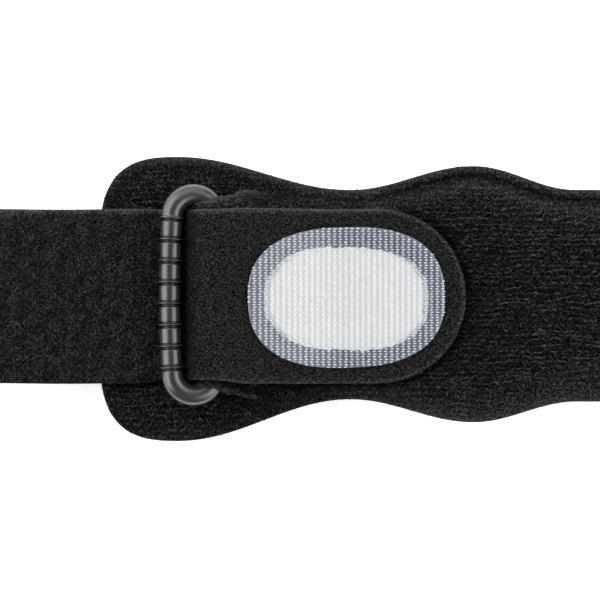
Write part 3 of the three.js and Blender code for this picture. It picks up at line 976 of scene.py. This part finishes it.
def make_keeper(material):
    line = soften(keeper_line(), 1)
    ahead = unit(np.gradient(line, axis=0))
    out = np.stack([ahead[:, 1], -ahead[:, 0]], axis=1)
    from_bar, *edges = np.array(keeper_edges).T
    upper_edge, lower_edge = (np.interp(line[:, :1], from_bar, edge) for edge in edges)
    share = crowded(61, 1.5)[None]
    across = np.where(share > 0, share * upper_edge, share * lower_edge)
    fray = 0.26 * ripple(line[:, :1] * 2.1, across * 1.3, 2.0, 12)
    across = across + fray * fade(np.abs(share), 0.9, 1.0)
    past_turn = np.maximum(np.abs(across) - ring_straight, 0)
    bar_shift = ring_corner - np.sqrt(np.maximum(ring_corner**2 - past_turn**2, 0))
    near_bar = np.clip(1 - line[:, :1] / 5, 0, 1)
    depth = np.minimum(upper_edge - across, lower_edge + across)
    rim = np.clip(depth / 0.5, 0.05, 1)
    thick = keeper_sheet / 2 * np.sqrt(1 - (1 - rim) ** 2)
    lumps = 0.05 * ripple(line[:, :1] + 0 * across, across, 2.4, 15)
    sides = []
    for side in (1, -1):
        level = side * thick + lumps
        x = right_bar + line[:, :1] - bar_shift * near_bar + out[:, :1] * level
        z = line[:, 1:] + out[:, 1:] * level + 0 * across
        sides.append(np.stack([x, ring_across + across, z], axis=-1))
    outer = np.arange(across.size).reshape(across.shape)
    grid = grid_faces(*across.shape)
    faces = [grid, (grid + across.size)[:, ::-1]]
    for edge in (outer[:, 0], outer[:, -1], outer[0], outer[-1]):
        near, far = edge[:-1], edge[1:]
        faces.append(np.stack([near, far, far + across.size, near + across.size], axis=1))
    points = np.stack(sides).reshape(-1, 3)
    piece = build("keeper_tongue", points, faces, material, "keeper_knit")
    frayed = fade(line[:, :1], 9.5, 7.5) * bell(depth, 0, 0.45)
    add_layer(piece, "rim", np.tile(frayed.ravel(), 2))
    merge_close(piece)
    top = len(line) // 2
    return piece, sides[1][top:], frayed[top:]


def keeper_strands(surface, frayed, material):
    """Knit nap on the keeper, paler and thicker along the cut edges by the ring."""
    ahead = np.linalg.norm(np.gradient(surface, axis=0), axis=2)
    beside = np.linalg.norm(np.gradient(surface, axis=1), axis=2)
    chance = (ahead * beside * (1 + 2.5 * frayed)).ravel()
    picks = rng.choice(len(chance), 26000, p=chance / chance.sum())
    points = surface.reshape(-1, 3)[picks]
    shown = np.abs(points[:, 1] - ring_across) > half_width - 1.5
    points, pale = points[shown], frayed.ravel()[picks][shown]
    # Painted light: nap on the upper side toned paler, on the lower side darker, and darker again past about
    # 10 mm right of the bar.
    lit = np.where(points[:, 1] > 0, 0.44, -0.08)
    lit = lit - 0.16 * fade(points[:, 0], right_bar + 7, right_bar + 10)
    count = len(points)
    base = points + rng.normal(0, 1, (count, 3)) * [0.3, 0.1, 0.03]
    turn = np.where(points[:, 1] > 0, 0.3, -0.25) + rng.normal(0, 0.35, count)
    along = np.column_stack([np.cos(turn), np.sin(turn), rng.normal(0, 0.12, count)])
    shape = draws(count, (0.5, 1.3), (0.1, 0.24), (0.0, 0.2), (-0.8, 0.8))
    tone = lit + rng.normal(0, 0.34, count) + np.where(points[:, 1] > 0, 0.45, 0.58) * pale
    return strands("keeper_nap", base, along, upward, *shape, tone, material, "keeper_knit")


# The hook patch


def on_strap(along, across, above):
    """Point above the strap's upper face past the ring, and the slope there."""
    slope = (free_run(along + 0.1) - free_run(along - 0.1)) / 0.2
    level = free_run(along) + (half_strap + above) * np.hypot(1, slope)
    return np.stack([along + 0 * level, across + 0 * level, level], axis=-1)


film_lift = 0.12
film_thickness = 0.55


def oval(angle, turn):
    """Shares of the half length and half width round the patch, fuller than an ellipse."""
    along = np.sign(np.cos(angle)) * np.abs(np.cos(angle)) ** (2 / patch_curve)
    across = np.sign(np.sin(angle)) * np.abs(np.sin(angle)) ** (2 / patch_curve)
    ratio = patch_width / patch_length
    return along - turn * across * ratio, across + turn * along / ratio


def oval_reach(along, across, shift, turn, half_length, half_width):
    """1 on the outline of a shifted and turned oval, less inside it."""
    along, across = along - shift[0], across - shift[1]
    shares = ((along + turn * across) / half_length, (across - turn * along) / half_width)
    return sum(np.abs(share) ** patch_curve for share in shares) ** (1 / patch_curve)


film_turn = math.radians(1.6)
film_shift = (0.13, -0.27)
film_ends_trim = 0.3
field_turn = math.radians(-1.4)
field_shift = (0.16, -0.56)
field_trim = -0.2
film_length = patch_length / 2 - film_ends_trim
film_width = patch_width / 2
field_length = patch_length / 2 - patch_border - field_trim
field_width = patch_width / 2 - patch_border - field_trim


def film_reach(along, across):
    return oval_reach(along, across, film_shift, film_turn, film_length, film_width)


def field_reach(along, across):
    return oval_reach(along, across, field_shift, field_turn, field_length, field_width)


def patch_rings(rows, angle, shift, turn, half_length, half_width):
    """Places along and across the patch, and their points, for rows of size share and height."""
    share, rise = (np.array(values)[:, None] for values in zip(*rows))
    along_share, across_share = oval(angle, turn)
    along = shift[0] + half_length * share * along_share
    across = shift[1] + half_width * share * across_share
    return along, across, on_strap(patch_middle + along, across, film_lift + rise)


def make_film(material):
    """Hook film, whitened under the white field and less so at the field's two ends."""
    corner = 0.12
    inner = np.linspace(0.02, 0.96, 60)
    rows = [(share, 0.0) for share in inner]
    rows += [(0.985, 0.0), (1.0, corner), (1.0, film_thickness - corner), (0.985, film_thickness)]
    rows += [(share, film_thickness) for share in inner[::-1]]
    along, across, rings = patch_rings(rows, circle(180), film_shift, film_turn, film_length, film_width)
    column = ripple(np.round(along / hook_pitch_along), 0 * along, 1.7, 51)
    ends = fade(np.abs(along) / field_length, 0.45, 0.75)
    past = (field_reach(along, across) - 1) * field_width + 0.25 * column - 0.15 * ends
    white = fade(past, 0.225, -0.225) * mix(1.0, 0.6, ends)
    cut_edge = [0.3 * (share > 0.98 and rise > 0.1) for share, rise in rows]
    piece = build("hook_film", *closed_body(rings), material, "hook_plastic")
    add_layer(piece, "whiteness", np.append(np.maximum(white, np.array(cut_edge)[:, None]), [1, 1]))
    merge_close(piece)
    return piece


# Half profile of one hook, its lean along the strap, its height above the film and its half width
hook_lean = np.array([-0.27, 0.22, 0.1, 0.15, 0.3, 0.37, 0.27, -0.08, -0.24, -0.24])
hook_rise = np.array([0.0, 0.0, 0.24, 0.4, 0.38, 0.47, 0.58, 0.6, 0.46, 0.24])
hook_half = np.array([0.1, 0.1, 0.09, 0.08, 0.06, 0.05, 0.06, 0.09, 0.1, 0.1])


def make_hooks(name, material, in_field):
    """Hooks in even columns that lean to and fro, either on the white field or round it."""
    rows = np.arange(-30, 31)
    columns = np.arange(-20, 21)
    along, across = spots(columns * hook_pitch_along, rows * hook_pitch_across)
    lean = np.tile(np.where(rows % 2 == 0, 1.0, -1.0), len(columns))
    along = along + lean * 0.07 + rng.normal(0, 0.02, len(along))
    across = across + rng.normal(0, 0.02, len(across)) - 0.1
    inner = (field_reach(along, across) < 1) == in_field
    keep = inner & (film_reach(along, across) < 0.996)
    along, across, lean = (values[keep, None] for values in (along, across, lean))
    count, corners = len(along), len(hook_rise)
    size = rng.uniform(0.9, 1.1, (count, 1))
    tilt = rng.normal(0, 0.06, (count, 1))
    up = hook_rise * size
    x = patch_middle + along + lean * hook_lean * size
    sides = [across + (side * hook_half + tilt * up) for side in (-1, 1)]
    points = np.stack([on_strap(x, y, film_lift + film_thickness + up) for y in sides], axis=1)
    first = np.arange(count)[:, None, None] * 2 * corners
    around = np.arange(corners)
    walls = first + grid_faces(2, corners, closed_columns=True)
    caps = first + np.stack([around, 2 * corners - 1 - around])
    faces = [walls.reshape(-1, 4), caps.reshape(-1, corners)]
    return build(name, points.reshape(-1, 3), faces, material, "hook_plastic")


def make_field(material):
    """White backing under the hooks in the middle, its edge wandering from column to column."""
    angle = circle(240)
    wander = 1 + 0.018 * ripple(angle * 9, 0 * angle, 2.2, 31)
    low, edge, high = film_thickness + 0.015, film_thickness + 0.02, film_thickness + 0.03
    inner = np.linspace(0.02, 0.96, 16)
    rows = [(share, low) for share in inner] + [(1.0, low), (1.0, edge), (0.985, high)]
    rows += [(share, high + 0.05 * ease((1 - share) / 0.15)) for share in inner[::-1]]
    half_length, half_width = (field_length - 0.9) * wander, (field_width - 0.5) * wander
    rings = patch_rings(rows, angle, field_shift, field_turn, half_length, half_width)[2]
    return build("hook_backing", *closed_body(rings), material, "hook_plastic")


# Stitches that hold the strap's sewn end on the pad


def make_stitches(material):
    """A stitched box with a cross in it, each stitch a short thread that dips at both ends."""
    left, right = pad_length - strap_sewn_overlap + seam_inset, pad_length - 2 * seam_inset
    side = half_width - seam_inset
    seam = [(left, -side), (right, -side), (right, side), (left, side), (left, -side), (right, side)]
    seam = np.array(seam + [(left, side), (right, -side)])
    middles, headings = [], []
    for start, end in zip(seam, seam[1:]):
        length = np.linalg.norm(end - start)
        count = max(1, round(length / seam_pitch))
        middles.append(mix(start, end, (np.arange(count)[:, None] + 0.5) / count))
        headings.append(np.tile((end - start) / length, (count, 1)))
    middle, ahead = (np.concatenate(part)[:, None, None] for part in (middles, headings))
    aside = ahead[..., ::-1] * [-1, 1]
    sides = 6
    step = np.linspace(-1, 1, sides)[:, None, None]
    angle = circle(sides)[:, None]
    thread = 0.22 * np.sqrt(np.maximum(1 - (0.9 * step) ** 2, 0.08))
    flat = middle + ahead * step * seam_pitch * 0.42 + aside * thread * np.cos(angle)
    level = upper_run + half_strap + 0.06 - 0.16 * step**2 + thread * np.sin(angle)
    points = np.concatenate([flat, level + 0 * flat[..., :1]], axis=-1).reshape(-1, 3)
    first = np.arange(len(middle))[:, None, None] * sides**2
    around = np.arange(sides)
    walls = first + grid_faces(sides, sides, closed_columns=True)
    caps = first + np.stack([around[::-1], around + sides * (sides - 1)])
    faces = [walls.reshape(-1, 4), caps.reshape(-1, sides)]
    piece = build("sewn_end_stitches", points, faces, material, "strap_pile")
    add_layer(piece, "tone", np.full(len(points), 0.8))
    return piece


# Pieces

pad = make_pad(knit_material())
pad_strands("pad_yarn", True, strand_material("pad_strand", 0.0184, warm, True))
pad_strands("pad_fuzz", False, strand_material("fuzz_strand", 0.0193, warm, True))
strap = make_strap(pile_material("strap_pile", cool, 0.0092))
strap_nap = strap_strands("strap_nap", 38000, False, strand_material("strap_strand", 0.0202, cool))
strap_edge = strap_strands("strap_edge_highlight_nap", 110000, True, strand_material("edge_highlight_strand", 0.045, neutral))
ring = make_ring(ring_material())
keeper, keeper_surface, keeper_frayed = make_keeper(pile_material("keeper_knit", neutral, 0.004))
keeper_strand = strand_material("keeper_strand", 0.025, neutral)
keeper_nap = keeper_strands(keeper_surface, keeper_frayed, keeper_strand)
film = make_film(film_material())
make_field(backing_material())
hook_white = hook_material()
make_hooks("border_hooks", hook_white, False)
make_hooks("field_hooks", hook_white, True)
stitches = make_stitches(strand_material("sewing_thread", 0.03, cool))

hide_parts("pad")
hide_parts("strap")
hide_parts("ring")
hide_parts("ring_keeper")
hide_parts("hook_patch")

# Floor, light and camera

floor_reach = 3.0
floor_drop = 0.0003
floor_mesh = bpy.data.meshes.new("floor")
floor_corners = [(x * floor_reach, y * floor_reach, 0) for x, y in ((-1, -1), (1, -1), (1, 1), (-1, 1))]
floor_mesh.from_pydata(floor_corners, [], [(0, 1, 2, 3)])
floor_mesh.materials.append(floor_material())
floor = add_object("floor", floor_mesh)
floor.location.z = -floor_drop


def photo_spot(column, row):
    """Place in the frame that a pixel of the photograph looks at, in metres."""
    along = (column - photo_left_end) * mm_per_pixel
    across = (photo_middle_line - row) * mm_per_pixel
    return place([along, across, pad_top])


view_middle = photo_spot(photo_side / 2, photo_side / 2)


light_distance = 0.8


def softbox(name, heading, height, size, radiance):
    """Area light aimed at the view's middle from a compass heading and a height in degrees."""
    light = bpy.data.lights.new(name, "AREA")
    light.shape = "RECTANGLE"
    light.size, light.size_y = size
    light.energy = radiance * math.pi * size[0] * size[1]
    turn, lift = math.radians(heading), math.radians(height)
    flat = math.cos(lift)
    direction = Vector((math.cos(turn) * flat, math.sin(turn) * flat, math.sin(lift)))
    lamp = add_object(name, light)
    lamp.location = Vector(view_middle) + direction * light_distance
    lamp.rotation_euler = direction.to_track_quat("Z", "Y").to_euler()


softbox("key_left", 172, 32, (1.5, 0.8), 3.8)
softbox("side_right", -6, 30, (1.3, 0.95), 3.3)
softbox("above", 92, 36, (0.9, 0.95), 1.5)
softbox("below", -90, 38, (0.9, 0.4), 0.2)

world = bpy.data.worlds.new("studio")
world.use_nodes = True
background = world.node_tree.nodes["Background"]
background.inputs["Color"].default_value = (1, 1, 1, 1)
background.inputs["Strength"].default_value = 0.1
bpy.context.scene.world = world

x, y, z = view_middle
lens = 250.0
sensor = 36.0
view_side = photo_side * mm_per_pixel / 1000
camera_data = bpy.data.cameras.new("camera")
camera_data.lens = lens
camera_data.sensor_width = sensor
camera_data.clip_end = 20
camera = add_object("camera", camera_data)
camera.location = (x, y, z + view_side * lens / sensor)
bpy.context.scene.camera = camera
bpy.context.scene.view_settings.view_transform = "Standard"
